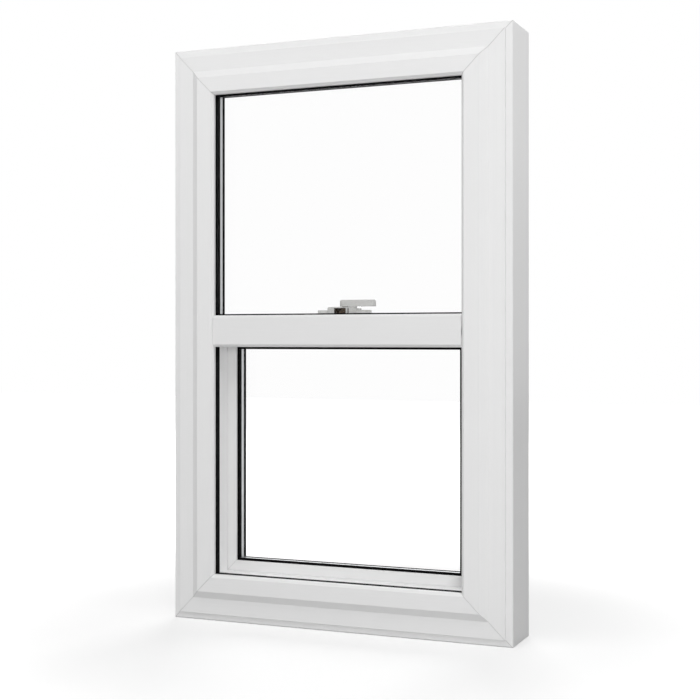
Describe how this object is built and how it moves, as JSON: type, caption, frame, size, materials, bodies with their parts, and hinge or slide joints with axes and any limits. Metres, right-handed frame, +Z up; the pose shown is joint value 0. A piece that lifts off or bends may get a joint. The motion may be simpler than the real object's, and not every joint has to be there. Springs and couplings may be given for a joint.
{
  "type": "sash window",
  "caption": "White PVC single-hung sash window in its frame: fixed upper light, sliding lower sash with cam lock and coil balances, double glazed with black gaskets.",
  "frame": {"origin": "centre of the frame's underside, in width and in full depth", "axes": "+X to the right seen from outdoors, +Y into the room, +Z up"},
  "size_m": [0.47, 0.084, 0.762],
  "materials": {
    "white_pvc": "satin extruded",
    "float_glass": "clear float",
    "aluminium_spacer": "mill finish",
    "butyl_seal": "matte",
    "black_rubber": "matte extruded",
    "packer_plastic": "moulded",
    "pile_fibre": "woven pile",
    "zinc_screw": "zinc plated",
    "spring_steel": "bright rolled",
    "balance_plastic": "moulded",
    "plated_steel": "zinc plated",
    "lock_enamel": "stoved enamel on zinc casting",
    "bronzed_zinc": "cast"
  },
  "bodies": {
    "frame": {"frame_head": "white_pvc", "frame_sill": "white_pvc", "frame_jamb_left": "white_pvc", "frame_jamb_right": "white_pvc", "meeting_rail": "white_pvc", "upper_pane_outer": "float_glass", "upper_pane_inner": "float_glass", "upper_spacer": "aluminium_spacer", "upper_edge_seal": "butyl_seal", "upper_front_gasket": "black_rubber", "upper_back_gasket": "black_rubber", "upper_setting_blocks": "packer_plastic", "upper_bead_head": "white_pvc", "upper_bead_left": "white_pvc", "upper_bead_right": "white_pvc", "lower_opening_seal": "black_rubber", "cover_left": "white_pvc", "cover_right": "white_pvc", "cover_sill": "white_pvc", "keeper": "bronzed_zinc", "keeper_screws": "zinc_screw", "balance_housing_left": "balance_plastic", "balance_housing_right": "balance_plastic", "balance_screws": "zinc_screw", "balance_strip_left": "spring_steel", "balance_strip_right": "spring_steel"},
    "sash": {"sash_top_rail": "white_pvc", "sash_bottom_rail": "white_pvc", "sash_stile_left": "white_pvc", "sash_stile_right": "white_pvc", "sash_pane_outer": "float_glass", "sash_pane_inner": "float_glass", "sash_spacer": "aluminium_spacer", "sash_edge_seal": "butyl_seal", "sash_front_gasket": "black_rubber", "sash_back_gasket": "black_rubber", "sash_setting_blocks": "packer_plastic", "sash_bead_top": "white_pvc", "sash_bead_bottom": "white_pvc", "sash_bead_left": "white_pvc", "sash_bead_right": "white_pvc", "sash_front_piles": "pile_fibre", "sash_back_piles": "pile_fibre", "meeting_rail_pile": "pile_fibre", "sash_bulb_seal": "black_rubber", "pivot_bar_left": "plated_steel", "pivot_bar_right": "plated_steel", "pivot_bar_screws": "zinc_screw", "balance_shoe_left": "balance_plastic", "balance_shoe_right": "balance_plastic", "lock_housing": "lock_enamel", "lock_screws": "zinc_screw"},
    "lock_handle": {"lock_lever": "lock_enamel", "lock_cam": "bronzed_zinc"},
    "coil_left": {"balance_coil_left": "spring_steel"},
    "coil_right": {"balance_coil_right": "spring_steel"}
  },
  "joints": [
    {"name": "sash_slide", "type": "slide", "parent": "frame", "child": "sash", "axis": [0, 0, 1], "range_m": [0, 0.262], "deforming": ["balance_strip_left", "balance_strip_right"]},
    {"name": "lock_turn", "type": "hinge", "parent": "sash", "child": "lock_handle", "pos_m": [-0.0025, 0.0085, 0.412], "axis": [0, 0, 1], "range_deg": [0, 180]},
    {"name": "coil_spin_left", "type": "hinge", "parent": "frame", "child": "coil_left", "pos_m": [-0.2156, 0.01781, 0.35051], "axis": [1, 0, 0], "range_deg": [0, 1055]},
    {"name": "coil_spin_right", "type": "hinge", "parent": "frame", "child": "coil_right", "pos_m": [0.2156, 0.01781, 0.35051], "axis": [1, 0, 0], "range_deg": [0, 1055]}
  ],
  "couplings": [
    {"joint": "coil_spin_left", "follows": "sash_slide", "rad_per_m": 70},
    {"joint": "coil_spin_right", "follows": "sash_slide", "rad_per_m": 70}
  ]
}
